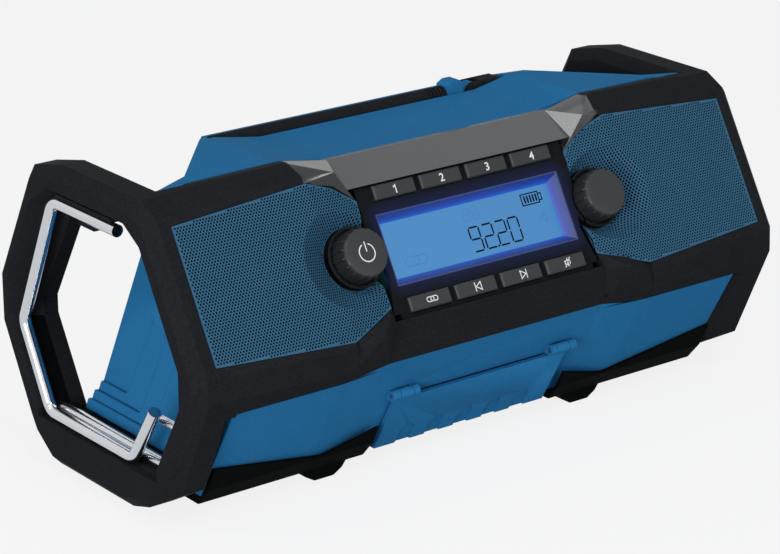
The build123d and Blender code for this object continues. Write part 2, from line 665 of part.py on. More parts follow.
# ---- knobs, on encoder shafts that also push in ------------------------------------------------------
for name, sign in (("volume", -1), ("tuning", 1)):
    centre = (sign * knob_x, 0)
    with BuildPart() as knob:
        with BuildSketch(front_plane.offset(knob_face - knob_length)):
            with Locations(centre):
                Circle(knob_radius)
        extrude(amount=knob_length)
        chamfer(knob.faces().sort_by(Axis(front_plane.origin, front_plane.z_dir))[-1].edges(), length=0.9)
        with BuildSketch(front_plane.offset(knob_face - knob_length)):
            with Locations(centre):
                Circle(knob_radius - 2.2)
                Circle(shaft_radius + 2.0, mode=Mode.SUBTRACT)
        extrude(amount=knob_length - 4, mode=Mode.SUBTRACT)
        with BuildSketch(front_plane.offset(knob_face - knob_length)):
            with Locations(centre):
                Circle(shaft_radius + shaft_clearance)
        extrude(amount=knob_length - 3, mode=Mode.SUBTRACT)
        # grip flutes
        with BuildSketch(front_plane.offset(knob_face - knob_length)):
            with Locations(centre):
                with PolarLocations(knob_radius + 0.55, 18):
                    Circle(1.1)
        extrude(amount=knob_length - 2.0, mode=Mode.SUBTRACT)
    write(f"{name}_knob", knob.part)
    well_back = panel_face - 10
    with BuildPart() as shaft:
        with BuildSketch(front_plane.offset(well_back - 5)):
            with Locations(centre):
                Circle(shaft_radius)
        extrude(amount=knob_face - 3.1 - well_back + 5)
    write(f"{name}_shaft", shaft.part)
    with BuildPart() as encoder:
        with BuildSketch(front_plane.offset(well_back)):
            with Locations(centre):
                Rectangle(13, 13)
                Circle(shaft_radius + shaft_clearance, mode=Mode.SUBTRACT)
        extrude(amount=-6.5)
        with BuildSketch(front_plane.offset(well_back - 6.5)):
            with Locations(centre):
                Rectangle(13, 13)
        extrude(amount=-1.5)
    write(f"{name}_encoder", encoder.part)

# ---- antenna, folded into its groove; it swings up about its hinge at the right -------------------------
antenna_centre = (antenna_y, antenna_z)
cheek_in, cheek_out = 2.9, 5.0
pin_radius = 1.2
with BuildPart() as antenna_base:
    with BuildSketch(Plane.XZ.offset(-antenna_y)):
        with BuildLine():
            Polyline((antenna_hinge_x + 5, antenna_z - 4), (antenna_end_x, antenna_z - 4),
                     (antenna_end_x, antenna_z + 3.2), (antenna_end_x - 1.2, antenna_z + 4.4),
                     (antenna_hinge_x + 5, antenna_z + 4.4), close=True)
        make_face()
    extrude(amount=4.4, both=True)
    with BuildSketch(Plane.XZ.offset(-antenna_y)):
        with Locations((antenna_hinge_x, antenna_z)):
            Circle(4.3)
        with Locations((antenna_hinge_x + 2.6, antenna_z)):
            Rectangle(5.2, 8.6)
    extrude(amount=cheek_out, both=True)
    with BuildSketch(Plane.XZ.offset(-antenna_y)):
        with Locations((antenna_hinge_x, antenna_z)):
            Rectangle(10.0, 12)
    extrude(amount=cheek_in, both=True, mode=Mode.SUBTRACT)
    with BuildSketch(Plane.YZ.offset(antenna_hinge_x - 5)):
        with Locations(antenna_centre):
            Rectangle(20, 20)
            Circle(5.9, mode=Mode.SUBTRACT)
    extrude(amount=antenna_end_x - antenna_hinge_x + 6, mode=Mode.SUBTRACT)
    with BuildSketch(Plane.XZ.offset(-antenna_y)):
        with Locations((antenna_hinge_x, antenna_z)):
            Circle(pin_radius)
    extrude(amount=8, both=True, mode=Mode.SUBTRACT)
write("antenna_base", antenna_base.part)
with BuildPart() as antenna_pin:
    with BuildSketch(Plane.XZ.offset(-antenna_y)):
        with Locations((antenna_hinge_x, antenna_z)):
            Circle(pin_radius)
    extrude(amount=3.9, both=True)
write("antenna_pin", antenna_pin.part)
knuckle_end = 49.5
with BuildPart() as antenna_knuckle:
    with BuildSketch(Plane.XZ.offset(-antenna_y)):
        with Locations((antenna_hinge_x, antenna_z)):
            Circle(4.2)
        with Locations(((knuckle_end + antenna_hinge_x) / 2, antenna_z)):
            Rectangle(antenna_hinge_x - knuckle_end, 6)
    extrude(amount=cheek_in - 0.3, both=True)
    with BuildSketch(Plane.XZ.offset(-antenna_y)):
        with BuildLine():
            Polyline((knuckle_end, antenna_z - 4), (antenna_hinge_x - 6.2, antenna_z - 4),
                     (antenna_hinge_x - 6.2, antenna_z + 5.5), (antenna_hinge_x - 8.2, antenna_z + 7),
                     (knuckle_end + 3.5, antenna_z + 7), (knuckle_end, antenna_z + 5.0), close=True)
        make_face()
    extrude(amount=4.3, both=True)
    with BuildSketch(Plane.XZ.offset(-antenna_y)):
        with Locations((antenna_hinge_x, antenna_z)):
            Circle(pin_radius + 0.05)
    extrude(amount=8, both=True, mode=Mode.SUBTRACT)
write("antenna_knuckle", antenna_knuckle.part)
with BuildPart() as antenna_rod:
    with BuildSketch(Plane.YZ.offset(antenna_tip_x)):
        with Locations(antenna_centre):
            Circle(antenna_radius)
    extrude(amount=knuckle_end - antenna_tip_x)
    chamfer(antenna_rod.faces().sort_by(Axis.X)[0].edges(), length=0.8)
    for i in range(5):
        with BuildSketch(Plane.YZ.offset(knuckle_end - 2.4 - i * 2.2)):
            with Locations(antenna_centre):
                Circle(antenna_radius + 1)
                Circle(antenna_radius - 0.7, mode=Mode.SUBTRACT)
        extrude(amount=1.0, mode=Mode.SUBTRACT)
write("antenna_rod", antenna_rod.part)

# ---- battery door on the lower front, hinged along its top edge -------------------------------------------
door_reach = front_lower_reach - lower_waist_drop + 0.5
door_top_z = door_hinge_z - knuckle_radius - 0.4
door_in = [(-(door_reach + door_top_z * sin_tilt) / cos_tilt, door_top_z),
           face_crossing(210, door_reach, -90, -housing_bottom + 0.4), (door_back_y, housing_bottom - 0.4)]
door_out = [(door_back_y, housing_bottom - 0.4 - door_thickness),
            face_crossing(210, door_reach + door_thickness, -90, -housing_bottom + 0.4 + door_thickness),
            (-(door_reach + door_thickness + door_top_z * sin_tilt) / cos_tilt, door_top_z)]
hinge_centre = (door_hinge_y, door_hinge_z)
with BuildPart() as battery_door:
    with BuildSketch(Plane.YZ.offset(-door_half)):
        with BuildLine():
            Polyline(*door_in, *door_out, close=True)
        make_face()
    extrude(amount=2 * door_half)
    for start, length in ((-51.5, 7.5), (44.0, 7.5)):
        with BuildSketch(Plane.YZ.offset(start)):
            with Locations(hinge_centre):
                Circle(knuckle_radius)
            with BuildLine():
                Polyline((door_hinge_y - knuckle_radius, door_hinge_z), (door_hinge_y + 1.6, door_hinge_z),
                         door_in[0], door_out[-1], close=True)
            make_face()
        extrude(amount=length)
        with BuildSketch(Plane.YZ.offset(start)):
            with Locations(hinge_centre):
                Circle(hinge_pin_radius + hinge_clearance)
        extrude(amount=length, mode=Mode.SUBTRACT)
    # finger scallops along the lower edge
    scallop_plane = Plane(origin=(0, *door_out[1]), x_dir=(1, 0, 0), z_dir=(0, -cos_tilt, -sin_tilt))
    with BuildSketch(scallop_plane.offset(-1.2)):
        with Locations(*[((i - 2) * 17.6, 4) for i in range(5)]):
            SlotOverall(16, 9, rotation=90)
    extrude(amount=5, mode=Mode.SUBTRACT)
write("battery_door", battery_door.part)
with BuildPart() as door_hinge_pins:
    for start in (-56.0, 40.5):
        with BuildSketch(Plane.YZ.offset(start)):
            with Locations(hinge_centre):
                Circle(hinge_pin_radius)
        extrude(amount=15.5)
write("door_hinge_pins", door_hinge_pins.part)
with BuildPart() as door_hinge_lugs:
    for start, length in ((-56.0, 4.2), (-43.7, 3.2), (40.5, 3.2), (51.8, 4.2)):
        with BuildSketch(Plane.YZ.offset(start)):
            with Locations(hinge_centre):
                Circle(knuckle_radius)
            with BuildLine():
                Polyline((door_hinge_y - 0.8, door_hinge_z + knuckle_radius), (-63.9, 44.6), (-61.5, 40.4),
                         (door_hinge_y, door_hinge_z - knuckle_radius), close=True)
            make_face()
            with Locations(hinge_centre):
                Circle(hinge_pin_radius, mode=Mode.SUBTRACT)
        extrude(amount=length)
write("door_hinge_lugs", door_hinge_lugs.part - outer_block)

# ---- battery and its cradle ----------------------------------------------------------------------------
cradle_wall = 1.5
cradle_start, cradle_length = 7.0, 106.0
with BuildPart() as battery_cradle:
    with BuildSketch(bay_plane.offset(cradle_start)):
        Rectangle(2 * bay_half, bay_height)
    extrude(amount=cradle_length)
    with BuildSketch(bay_plane.offset(cradle_start)):
        Rectangle(2 * (bay_half - cradle_wall), bay_height - 2 * cradle_wall)
    extrude(amount=cradle_length - cradle_wall, mode=Mode.SUBTRACT)
write("battery_cradle", battery_cradle.part & outer_block)
pack_gap = 0.3
pack_end = cradle_start + cradle_length - cradle_wall - 4.0
with BuildPart() as battery_pack:
    with BuildSketch(bay_plane.offset(cradle_start + 4)):
        Rectangle(2 * (bay_half - cradle_wall - pack_gap), bay_height - 2 * (cradle_wall + pack_gap))
    extrude(amount=pack_end - cradle_start - 4)
    chamfer(battery_pack.edges().filter_by(Axis(bay_plane.origin, bay_plane.z_dir)), length=3)
write("battery_pack", battery_pack.part)
with BuildPart() as battery_terminals:
    with BuildSketch(bay_plane.offset(pack_end)):
        with Locations((-18, 0), (-6, 0), (6, 0), (18, 0)):
            Rectangle(1.2, 12)
    extrude(amount=4.0)
write("battery_terminals", battery_terminals.part)

# ---- boards ------------------------------------------------------------------------------------------------
board_z = 136.0
with BuildPart() as main_board:
    with Locations((0, -8, board_z)):
        Box(110, 34, 1.6, align=(Align.CENTER, Align.CENTER, Align.MIN))
    with Locations((-30, -10, board_z + 1.6), (18, -6, board_z + 1.6)):
        Box(16, 12, 2, align=(Align.CENTER, Align.CENTER, Align.MIN))
write("main_board", main_board.part)
with BuildPart() as board_posts:
    with Locations(*[(x, y, board_z + 1.6) for x in (-50, 50) for y in (-14, 5)]):
        Cylinder(2.5, 20, align=(Align.CENTER, Align.CENTER, Align.MIN))
write("board_posts", board_posts.part & inner_block)

# ---- bumpers with the feet ------------------------------------------------------------------------------------
bumper_inner_x = 57.0
bumper_top = 30.0
bumper_in = [(-(front_lower_reach + 0.2 + bumper_top * sin_tilt) / cos_tilt, bumper_top),
             face_crossing(210, front_lower_reach + 0.2, -90, -housing_bottom + 0.2), (56.0, housing_bottom - 0.2)]
bumper_out = [(56.0, housing_bottom - 3.6), (-47.5, 6.8),
              (-(front_lower_reach + 2.8 + 16.0 * sin_tilt) / cos_tilt, 16.0),
              (-(front_lower_reach + 1.4 + bumper_top * sin_tilt) / cos_tilt, bumper_top)]
# upper edge of the bumper on the lower front: (distance from the middle, height)
bumper_edge = [(frame_inner_x, 29.2), (86.2, 16.6), (64.9, 22.6), (bumper_inner_x, 25.5)]
foot_half_toe, foot_half_root = foot_toe / 2, foot_root / 2
for side, sign in (("left", -1), ("right", 1)):
    with BuildPart() as bumper:
        with BuildSketch(Plane.YZ.offset(sign * bumper_inner_x)):
            with BuildLine():
                Polyline(*bumper_in, *bumper_out, close=True)
            make_face()
        extrude(amount=sign * (frame_inner_x - 0.3 - bumper_inner_x))
        for y_start, y_end in ((-46.0, -14.0), (20.0, 48.0)):
            with BuildSketch(Plane.XZ.offset(-y_start)):
                with BuildLine():
                    Polyline((sign * foot_x - foot_half_root, 10.5), (sign * foot_x - foot_half_toe - 5, 3),
                             (sign * foot_x - foot_half_toe, 0), (sign * foot_x + foot_half_toe, 0),
                             (sign * foot_x + foot_half_toe + 5, 3), (sign * foot_x + foot_half_root, 10.5),
                             close=True)
                make_face()
            extrude(amount=-(y_end - y_start))
        with BuildSketch(Plane.XZ.offset(40)):
            with BuildLine():
                Polyline(*[(sign * x, z) for x, z in bumper_edge], (sign * bumper_inner_x, 60),
                         (sign * frame_inner_x, 60), close=True)
            make_face()
        extrude(amount=60, mode=Mode.SUBTRACT)
    write(f"{side}_bumper", bumper.part)

# ---- hanging hook in the left end frame ------------------------------------------------------------------------
hook_points = [(-18.1, 134.6), (36.5, 134.6), (67.5, 67.6), (45.9, hook_z), (-25.7, hook_z), (-44.3, 56.0)]
hook_bend = 8.0
with BuildPart() as side_hook:
    with BuildLine():
        FilletPolyline(*[(hook_x, y, z) for y, z in hook_points], radius=hook_bend)
    with BuildSketch(Plane(origin=(hook_x, *hook_points[0]), z_dir=(0, 1, 0))):
        Circle(hook_radius)
    sweep()
write("side_hook", side_hook.part)
with BuildPart() as hook_keeper:
    with BuildSketch(Plane.XZ.offset(-keeper_back)):
        with Locations((keeper_x, keeper_z)):
            Circle(hook_radius)
    extrude(amount=keeper_back - keeper_front)
write("hook_keeper", hook_keeper.part)
with BuildPart() as hook_stop:
    with BuildSketch(Plane.XZ.offset(-stop_back)):
        with Locations((stop_x, stop_z)):
            Circle(stop_radius)
    extrude(amount=stop_back - stop_front)
write("hook_stop", hook_stop.part)
print(len(written), "nodes")
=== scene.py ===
import json
import math

import bmesh
import bpy
from mathutils import Matrix, Vector, geometry
from mathutils.bvhtree import BVHTree


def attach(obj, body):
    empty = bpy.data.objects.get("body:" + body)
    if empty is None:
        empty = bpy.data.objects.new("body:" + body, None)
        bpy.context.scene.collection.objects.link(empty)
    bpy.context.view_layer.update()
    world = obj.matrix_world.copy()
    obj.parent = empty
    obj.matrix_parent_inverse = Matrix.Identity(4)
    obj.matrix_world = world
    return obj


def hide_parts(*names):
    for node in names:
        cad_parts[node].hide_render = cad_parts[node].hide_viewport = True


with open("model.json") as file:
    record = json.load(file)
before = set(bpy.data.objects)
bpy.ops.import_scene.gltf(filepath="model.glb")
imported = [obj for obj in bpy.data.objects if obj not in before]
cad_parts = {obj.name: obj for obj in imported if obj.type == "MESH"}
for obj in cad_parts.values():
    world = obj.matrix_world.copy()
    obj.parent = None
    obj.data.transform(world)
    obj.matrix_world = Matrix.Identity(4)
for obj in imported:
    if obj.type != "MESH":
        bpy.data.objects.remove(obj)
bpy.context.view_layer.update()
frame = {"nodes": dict(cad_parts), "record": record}        # bodies, nodes, joints and the record
nodes = frame["nodes"]
mm = 0.001

bodyOf = {node: body for body, held in frame["record"]["behaviour"]["bodies"].items() for node in held}
slotOf = {part["node"]: part["material_slot"] for part in frame["record"]["subparts"]}
ends = (("left", -1), ("right", 1))
knobs = (("volume", -1), ("tuning", 1))

# the leaning control face, the plane that most of the fittings share, in millimetres and degrees
face = {"tilt": 30.0, "centreY": -64.15, "centreZ": 115.05}
cosTilt, sinTilt = math.cos(math.radians(face["tilt"])), math.sin(math.radians(face["tilt"]))


def onFace(x, v, n):  # millimetres along the face, up its slope and out of it
    y = face["centreY"] + v * sinTilt - n * cosTilt
    z = face["centreZ"] + v * cosTilt + n * sinTilt
    return Vector((x, y, z)) * mm


view = {"eye": (-842.0, -1094.6, 563.0), "target": (-33.6, -44.4, 111.6), "roll": -0.16,
        "lens": 138.37, "sensor": 36.0, "farthest": 50.0, "shiftX": -0.0139, "shiftY": -0.0543}


def makeCamera():
    lens = bpy.data.cameras.new("camera")
    lens.lens, lens.sensor_width, lens.clip_end = view["lens"], view["sensor"], view["farthest"]
    lens.shift_x, lens.shift_y = view["shiftX"], view["shiftY"]
    camera = bpy.data.objects.new("camera", lens)
    bpy.context.collection.objects.link(camera)
    eye, target = Vector(view["eye"]), Vector(view["target"])
    look = (target - eye).to_track_quat("-Z", "Y").to_matrix().to_4x4()
    roll = Matrix.Rotation(math.radians(view["roll"]), 4, "Z")
    camera.matrix_world = Matrix.Translation(eye * mm) @ look @ roll
    bpy.context.scene.camera = camera


makeCamera()
print("camera placed")


class Wire:  # one output socket, with arithmetic
    def __init__(self, owner, socket):
        self.owner, self.socket = owner, socket

    def maths(self, kind, a, b=None):
        return self.owner.node("Math", {"operation": kind}, {0: a, 1: b})

    def output(self, which):  # another output of the same node
        return Wire(self.owner, self.socket.node.outputs[which])

    def __add__(self, other): return self.maths("ADD", self, other)
    def __radd__(self, other): return self.maths("ADD", other, self)
    def __sub__(self, other): return self.maths("SUBTRACT", self, other)
    def __rsub__(self, other): return self.maths("SUBTRACT", other, self)
    def __mul__(self, other): return self.maths("MULTIPLY", self, other)
    def __rmul__(self, other): return self.maths("MULTIPLY", other, self)
    def __truediv__(self, other): return self.maths("DIVIDE", self, other)
    def __rtruediv__(self, other): return self.maths("DIVIDE", other, self)
    def __pow__(self, other): return self.maths("POWER", self, other)
    def __rpow__(self, other): return self.maths("POWER", other, self)
    def __abs__(self): return self.maths("ABSOLUTE", self)


def linear(hexColour, share=1.0):
    parts = [int(hexColour[i:i + 2], 16) / 255 for i in (1, 3, 5)]
    return tuple(share * (c / 12.92 if c <= 0.04045 else ((c + 0.055) / 1.055) ** 2.4) for c in parts) + (1.0,)


class NodeTree:  # adds nodes to one shader tree
    def __init__(self, tree):
        self.tree = tree

    def node(self, kind, settings=None, sockets=None, out=0):
        made = self.tree.nodes.new("ShaderNode" + kind)
        for key, value in (settings or {}).items():
            if key == "stops":
                self.setStops(made.color_ramp, value)
            else:
                setattr(made, key, value)
        for key, value in (sockets or {}).items():
            self.join(value, made.inputs[key])
        return Wire(self, made.outputs[out])

    def join(self, value, socket):
        if isinstance(value, Wire):
            self.tree.links.new(value.socket, socket)
        elif value is not None:
            socket.default_value = value

    def setStops(self, ramp, stops):
        while len(ramp.elements) < len(stops):
            ramp.elements.new(0.5)
        for element, (place, colour) in zip(ramp.elements, stops):
            element.position, element.color = place, colour

    def larger(self, a, b):
        return self.node("Math", {"operation": "MAXIMUM"}, {0: a, 1: b})

    def seenDirectly(self):  # 1 to the camera, in reflections and through glass
        path = self.node("LightPath")
        shown = self.larger(path.output("Is Camera Ray"), path.output("Is Glossy Ray"))
        return self.larger(shown, path.output("Is Transmission Ray"))


mould = {"cloud": 18.0, "cloudShare": 0.3, "speckle": 1.6, "speckleShare": 1.4, "darker": 0.35, "patch": 9.0,
         "relief": 0.6}


class Paint(NodeTree):  # one Principled material
    def __init__(self, name, colour, **fixed):
        self.material = bpy.data.materials.new(name)
        self.material.use_nodes = True
        super().__init__(self.material.node_tree)
        self.shader = self.tree.nodes["Principled BSDF"]
        self.shader.inputs["Base Color"].default_value = linear(colour)
        for socket, value in fixed.items():
            self.shader.inputs[socket.replace("_", " ")].default_value = value

    def feed(self, socket, wire):
        self.join(wire, self.shader.inputs[socket])

    def place(self):  # object coordinates, in metres
        return self.node("TexCoord", out=3)

    def noise(self, size, detail=2.0, rough=0.5):  # size in millimetres
        return self.node("TexNoise", {"noise_dimensions": "3D"},
                         {"Vector": self.place(), "Scale": 1 / (size * mm), "Detail": detail, "Roughness": rough})

    def blendColours(self, amount, one, two):
        return self.node("Mix", {"data_type": "RGBA"}, {0: amount, 6: one, 7: two}, out=2)

    def bump(self, height, strength, distance):
        sockets = {"Height": height, "Strength": strength, "Distance": distance * mm}
        self.feed("Normal", self.node("Bump", {}, sockets))

    def moulded(self, light, dark, grain, depth, roughness, spread):
        # grained plastic: mottled colour, a fine texture and a shine that varies with it
        cloud = self.noise(mould["cloud"], 3.0)
        texture = self.noise(grain, 2.0, 0.6)
        speckle = self.noise(grain * mould["speckle"], 1.0)
        amount = cloud * mould["cloudShare"] + speckle * mould["speckleShare"] - mould["darker"]
        self.feed("Base Color", self.blendColours(amount, linear(dark), linear(light)))
        patches = self.noise(mould["patch"]) * spread
        self.feed("Roughness", texture * spread + patches + (roughness - spread))
        self.bump(texture, mould["relief"], depth)
        return self


dull = 0.004  # specular level of the grained plastics

# base, light and dark colour, grain and its depth in millimetres, roughness, its spread, specular level
plastics = {
    "blue_plastic": ("#1F6DA3", "#296C9A", "#1D5C8A", 0.45, 0.05, 0.5, 0.08, dull),
    "charcoal_plastic": ("#1E2023", "#222427", "#141517", 0.5, 0.07, 0.5, 0.08, dull),
    "smooth_facet": ("#1E2023", "#1F2225", "#15171A", 0.5, 0.03, 0.18, 0.05, 0.5),
    "black_rubber": ("#141516", "#0C0D0E", "#080909", 0.6, 0.05, 0.62, 0.08, dull),
    "key_plastic": ("#232528", "#232629", "#1A1C1E", 0.35, 0.03, 0.42, 0.08, 0.3),
    "pack_plastic": ("#1B3F66", "#1B3F66", "#16365A", 0.5, 0.04, 0.5, 0.08, 0.5),
    "blue_mesh": ("#2A6796", "#355C75", "#2C5069", 0.3, 0.02, 0.5, 0.08, dull),
    # near-black sheet under the grille holes: painted shade standing in for the dark inside behind the grilles
    "painted_shade_screen": ("#040608", "#050709", "#030405", 0.4, 0.03, 0.8, 0.08, dull),
}

# colour, metallic, size and detail of the shine's noise, its spread and its least roughness
metals = {
    "bright_steel": ("#C9CDD2", 1.0, 3.0, 4.0, 0.08, 0.14),
    "plain_steel": ("#9EA2A6", 1.0, 1.5, 3.0, 0.2, 0.25),
    "ferrite": ("#3A3A3C", 0.6, 1.0, 2.0, 0.3, 0.45),
    "contact_metal": ("#C9A45A", 1.0, 1.0, 2.0, 0.15, 0.25),
}

display = {"halfWidth": 50.4, "top": 12.9, "bottom": -13.4}  # the lit window, in millimetres on the face

# base colour, painted glow at shares of its reach from the window's edge, reach in millimetres, specular level
paintedGlows = {
    "light_frame": ("#0C1B40", [(0.0, "#1D4CB8"), (0.35, "#112F8C"), (1.0, "#081748")], 4.0, 0.5),
    "panel_plastic": ("#17191C", [(0.0, "#1A2F78"), (0.3, "#0C1638"), (1.0, "#000000")], 11.0, dull),
}


def makePaintedGlow(name, colour, stops, reach, shine):
    # painted glow: emission on the plastic beside the display, standing in for the display's light spilling onto it,
    # fading with the distance from the window's edge
    paint = Paint(name, colour, Roughness=0.4, Emission_Strength=1.0, Specular_IOR_Level=shine)
    spot = paint.node("SeparateXYZ", {}, {0: paint.place()})
    up = (spot.output(1) - face["centreY"] * mm) * sinTilt + (spot.output(2) - face["centreZ"] * mm) * cosTilt
    middle, half = (display["top"] + display["bottom"]) / 2, (display["top"] - display["bottom"]) / 2
    aside = paint.larger(abs(spot) - display["halfWidth"] * mm, 0.0)
    above = paint.larger(abs(up - middle * mm) - half * mm, 0.0)
    away = (aside * aside + above * above) ** 0.5 / (reach * mm)
    shades = [(place, linear(shade)) for place, shade in stops]
    paint.feed("Emission Color", paint.node("ValToRGB", {"stops": shades}, {0: away}))
    grain = paint.noise(0.5, 2.0, 0.6)
    paint.feed("Base Color", paint.blendColours(grain, linear(colour), linear(colour, 0.8)))
    paint.bump(grain, 0.5, 0.05)
    return paint


paints = {}


def makePaints():
    for slot, (colour, light, dark, grain, depth, roughness, spread, shine) in plastics.items():
        paint = Paint(slot, colour, Specular_IOR_Level=shine)
        paints[slot] = paint.moulded(light, dark, grain, depth, roughness, spread)
    for slot, (colour, metallic, size, detail, spread, least) in metals.items():
        paints[slot] = Paint(slot, colour, Metallic=metallic)
        paints[slot].feed("Roughness", paints[slot].noise(size, detail) * spread + least)
    steel = paints["bright_steel"]
    steel.bump(steel.noise(1.2, 3.0), 0.1, 0.01)
    for slot, settings in paintedGlows.items():
        paints[slot] = makePaintedGlow(slot, *settings)
    board = paints["circuit_board"] = Paint("circuit_board", "#1E5B3A", Roughness=0.35)
    board.feed("Base Color", board.blendColours(board.noise(1.5), linear("#17492E"), linear("#236B45")))
    cone = paints["paper_cone"] = Paint("paper_cone", "#1A1A1B", Roughness=0.8)
    cone.bump(cone.noise(0.8, 4.0), 0.5, 0.1)
    glass = paints["lcd_glass"] = Paint("lcd_glass", "#4A93CF", Roughness=0.3, Emission_Strength=1.0)
    cloud = glass.noise(60.0)
    glass.feed("Emission Color", glass.blendColours(cloud, linear("#2F76AF"), linear("#3580BB")))
    glass.feed("Base Color", glass.blendColours(cloud, linear("#0B1C2B"), linear("#0D2236")))
    paints["mark_white"] = Paint("mark_white", "#C9CCCE", Roughness=0.5)
    paints["segment_dark"] = Paint("segment_dark", "#05080B", Roughness=0.6, Specular_IOR_Level=0.05)
    faint = paints["segment_faint"] = Paint("segment_faint", "#0B1C2B", Roughness=0.4, Emission_Strength=1.0)
    shade = faint.blendColours(faint.noise(20.0), linear("#2A6CA3"), linear("#2E74AC"))
    faint.feed("Emission Color", shade)


makePaints()
print("materials made")


def meshOf(name, points, polygons, smoothAngle=None):
    mesh = bpy.data.meshes.new(name)
    mesh.from_pydata(points, [], polygons)
    bm = bmesh.new()
    bm.from_mesh(mesh)
    bmesh.ops.recalc_face_normals(bm, faces=bm.faces)
    bm.to_mesh(mesh)
    bm.free()
    if smoothAngle:
        for polygon in mesh.polygons:
            polygon.use_smooth = True
        mesh.set_sharp_from_angle(angle=math.radians(smoothAngle))
    return mesh


def dress(piece, body, slot, paint=None):
    piece.data.materials.clear()
    piece.data.materials.append((paint or paints[slot]).material)
    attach(piece, body)
    return piece


def newPiece(name, mesh, body, slot, paint=None):
    piece = bpy.data.objects.new(name, mesh)
    bpy.context.collection.objects.link(piece)
    return dress(piece, body, slot, paint)


def settle(piece):  # applies the piece's modifiers
    deps = bpy.context.evaluated_depsgraph_get()
    made = bpy.data.meshes.new_from_object(piece.evaluated_get(deps))
    piece.modifiers.clear()
    piece.data = made


def cleanCopy(node, name):  # the node's mesh with its flat faces whole again
    mesh = nodes[node].data.copy()
    mesh.name = name
    bm = bmesh.new()
    bm.from_mesh(mesh)
    bmesh.ops.remove_doubles(bm, verts=bm.verts, dist=0.002 * mm)
    bmesh.ops.dissolve_limit(bm, angle_limit=math.radians(0.4), verts=bm.verts, edges=bm.edges)
    bm.to_mesh(mesh)
    bm.free()
    return mesh


def roundEdges(piece, width, segments=2, angle=24.0):  # width in millimetres
    edge = piece.modifiers.new("edge", "BEVEL")
    edge.width, edge.segments = width * mm, segments
    edge.limit_method, edge.angle_limit = "ANGLE", math.radians(angle)
    edge.use_clamp_overlap, edge.harden_normals, edge.miter_outer = True, True, "MITER_ARC"
    for polygon in piece.data.polygons:
        polygon.use_smooth = True
    piece.data.set_sharp_from_angle(angle=math.radians(angle))
    settle(piece)
    return piece


def prism(name, outlines):  # outlines: the same polygon at two depths
    count = len(outlines[0])
    polygons = [list(range(count)), [count + i for i in range(count)]]
    polygons += [[i, (i + 1) % count, count + (i + 1) % count, count + i] for i in range(count)]
    return meshOf(name, [p for outline in outlines for p in outline], polygons)


def tube(rings, first=0):  # joins equal rings of points and closes both ends; its points start at number first
    count = len(rings[0])
    polygons = []
    for r in range(len(rings) - 1):
        near, far = first + r * count, first + (r + 1) * count
        polygons += [[near + i, near + (i + 1) % count, far + (i + 1) % count, far + i] for i in range(count)]
    last = first + (len(rings) - 1) * count
    polygons += [[first + i for i in reversed(range(count))], [last + i for i in range(count)]]
    return [p for one in rings for p in one], polygons


# leaning end walls with stepped panels, seen through the end frames; foot, lip and beyond are x and z, x and
# rise, x and y, and a leg is a panel's rear edge and foot
endWall = {"foot": (150.0, 25.0), "lean": 25.3, "bottom": 24.0, "top": 118.0, "front": -14.0, "rear": (43.0, 0.095),
           "thick": 8.0, "lowTop": 75.0, "lowFront": -50.0, "lip": (153.0, 11.0), "beyond": (160.0, 70.0),
           "step": 2.2, "legs": [(21.5, 38.0), (4.4, 33.7), (-10.8, 29.5)], "round": 1.2,
           "overlap": 1.0, "join": 0.1, "tuck": 0.3, "lift": 0.5, "sunk": 0.6}


def onWall(sign, y, z, out):  # y and z in millimetres on the wall, out of it towards the end frame
    lean = math.radians(endWall["lean"])
    x = endWall["foot"][0] - (z - endWall["foot"][1]) * math.tan(lean)
    return Vector((sign * (x + out * math.cos(lean)), y, z + out * math.sin(lean))) * mm


def carve(piece, cutter):
    tool = bpy.data.objects.new("cutter", cutter)
    bpy.context.collection.objects.link(tool)
    cut = piece.modifiers.new("cut", "BOOLEAN")
    cut.operation, cut.solver, cut.object = "DIFFERENCE", "EXACT", tool
    settle(piece)
    bpy.data.objects.remove(tool)


def hollowEnds(piece):  # takes off what stands outside the two end walls, lower down as far as the front
    wall = endWall
    (lipX, rise), (farX, farY), foot = wall["lip"], wall["beyond"], wall["bottom"] - wall["overlap"]
    cuts = ((wall["top"], wall["front"], farY), (wall["lowTop"], wall["lowFront"], wall["front"] + wall["join"]))
    for _, sign in ends:
        for top, front, rear in cuts:
            profile = [onWall(sign, 0, z, -wall["overlap"]) for z in (foot, top)]
            corners = ((lipX, top + rise), (farX, top + rise), (farX, foot))
            profile += [Vector((sign * x, 0, z)) * mm for x, z in corners]
            outlines = [[Vector((p.x, y * mm, p.z)) for p in profile] for y in (front, rear)]
            carve(piece, prism("cutter", outlines))


def wallRear(z):  # the wall's rear edge
    start, slope = endWall["rear"]
    return start + (z - endWall["bottom"]) * slope


def makeEndWall(side, sign):
    wall = endWall
    low, high = wall["bottom"], wall["top"]
    front, lowFront = wall["front"] - wall["overlap"], wall["lowFront"] - wall["overlap"]
    frontEdge = [(front, high), (front, wall["lowTop"]), (lowFront, wall["lowTop"]), (lowFront, low)]
    base = [(wallRear(low), low), (wallRear(high), high)] + frontEdge
    plate = prism("wall", [[onWall(sign, y, z, out) for y, z in base] for out in (-wall["thick"], 0.0)])
    newPiece(side + "_end_wall", plate, "chassis", "blue_plastic")
    for level, (leg, foot) in enumerate(wall["legs"]):
        outline = [(wallRear(low) - wall["tuck"], low + wall["lift"]), (wallRear(foot) - wall["tuck"], foot),
                   (leg, foot), (leg, high)] + frontEdge
        depths = (-wall["sunk"], wall["step"] * (level + 1))
        outlines = [[onWall(sign, y, z, out) for y, z in outline] for out in depths]
        name = "%s_end_wall_step_%d" % (side, level + 1)
        roundEdges(newPiece(name, prism(name, outlines), "chassis", "blue_plastic"), wall["round"])


liner = {"thick": 1.5, "samples": 14, "into": 0.8, "short": 0.3, "rear": 46.0, "floor": 0.8, "behind": 2.0,
         "reach": 60.0, "least": 0.2, "missed": 0.5}


